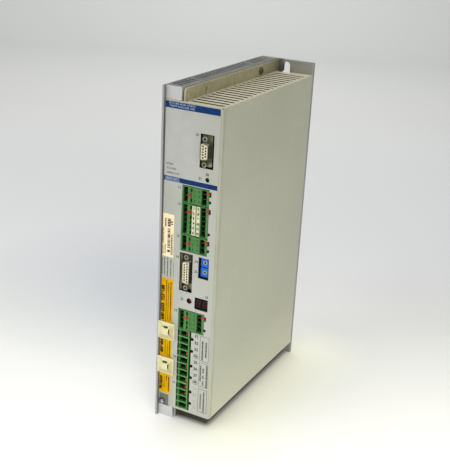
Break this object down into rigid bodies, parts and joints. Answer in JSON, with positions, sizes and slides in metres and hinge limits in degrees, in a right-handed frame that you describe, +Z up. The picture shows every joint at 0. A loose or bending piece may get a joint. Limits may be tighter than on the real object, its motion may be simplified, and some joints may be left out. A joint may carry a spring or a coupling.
{
  "type": "servo drive",
  "caption": "Slim wall-mounted servo drive with side heat sink, vented cover, pluggable headers, sub-D sockets, code switches and display.",
  "frame": {"origin": "middle of the bounding box in plan, on the ground", "axes": "+Z up along the heat sink, -Y towards the connector side, +X towards the side of the cover"},
  "size_m": [0.065, 0.2154, 0.36],
  "materials": {
    "extrusion": "natural, extruded",
    "plate": "grey passivated steel",
    "zinc_sheet": "yellowish passivated steel sheet",
    "cover_paint": "satin grey-beige",
    "panel_paint": "satin cream",
    "foil": "light grey print foil",
    "header_green": "green moulded",
    "coding_red": "red moulded",
    "strip_white": "white moulded",
    "tin_pins": "tinned",
    "plated_steel": "bright zinc",
    "insulator_ivory": "ivory moulded",
    "contact_gold": "plated contact",
    "black_plastic": "black moulded",
    "blue_plastic": "blue moulded",
    "rotor_brass": "dull",
    "display_face": "dark red filter",
    "segment_red": "unlit segment",
    "led_green": "tinted lens",
    "button_red": "red button",
    "tie_ivory": "ivory nylon",
    "foam": "white foam pad",
    "board_green": "circuit board",
    "module_grey": "moulded module",
    "can_black": "sleeved can",
    "ferrite": "ferrite",
    "winding_tape": "yellow tape",
    "cement": "white cement"
  },
  "bodies": {
    "drive": {"heat_sink": "extrusion", "back_plate": "plate", "plate_screws": "plated_steel", "chassis": "zinc_sheet", "chassis_bushes": "plated_steel", "chassis_screws": "plated_steel", "housing_cover": "cover_paint", "cover_screws": "plated_steel", "front_panel": "panel_paint", "front_foil": "foil", "signal_pins": "tin_pins", "key_tabs": "coding_red", "marker_strips": "strip_white", "power_pins": "tin_pins", "jackscrews": "plated_steel", "display_module": "display_face", "display_segments": "segment_red", "status_led": "led_green", "led_holder": "black_plastic", "reset_switch": "black_plastic", "ground_washer": "plated_steel", "ground_screw": "plated_steel", "tie_mounts": "tie_ivory", "tie_pads": "foam", "front_board": "board_green", "terminal_board": "board_green", "panel_studs": "plated_steel", "board_screws": "plated_steel", "power_board": "board_green", "power_spacers": "plated_steel", "control_board": "board_green", "control_spacers": "plated_steel", "control_chips": "black_plastic", "board_link": "black_plastic", "power_module": "module_grey", "rectifier_module": "module_grey", "dc_link_capacitors": "can_black", "filter_choke": "ferrite", "supply_transformer": "ferrite", "transformer_winding": "winding_tape", "inrush_relay": "black_plastic", "bleeder_resistor": "cement", "signal_header_fourway": "header_green", "signal_header_lower": "header_green", "signal_header_middle": "header_green", "signal_header_top": "header_green", "power_header_1": "header_green", "power_header_2": "header_green", "power_header_3": "header_green", "sub_d_9_shell": "plated_steel", "sub_d_9_insulator": "insulator_ivory", "sub_d_9_contacts": "contact_gold", "sub_d_15_shell": "plated_steel", "sub_d_15_insulator": "insulator_ivory", "sub_d_15_contacts": "contact_gold", "code_switch_lower": "blue_plastic", "code_switch_upper": "blue_plastic"},
    "reset_button": {"reset_button": "button_red"},
    "code_rotor_lower": {"code_rotor_lower": "rotor_brass"},
    "code_rotor_upper": {"code_rotor_upper": "rotor_brass"}
  },
  "joints": [
    {"name": "reset_press", "type": "slide", "parent": "drive", "child": "reset_button", "axis": [0, 1, 0], "range_m": [0, 0.0008], "stiffness_N_per_m": 400, "springref_m": -0.0005},
    {"name": "code_turn_lower", "type": "hinge", "parent": "drive", "child": "code_rotor_lower", "pos_m": [0.0188, -0.0997, 0.17846], "axis": [0, 1, 0], "continuous": true},
    {"name": "code_turn_upper", "type": "hinge", "parent": "drive", "child": "code_rotor_upper", "pos_m": [0.0188, -0.0997, 0.18926], "axis": [0, 1, 0], "continuous": true}
  ]
}
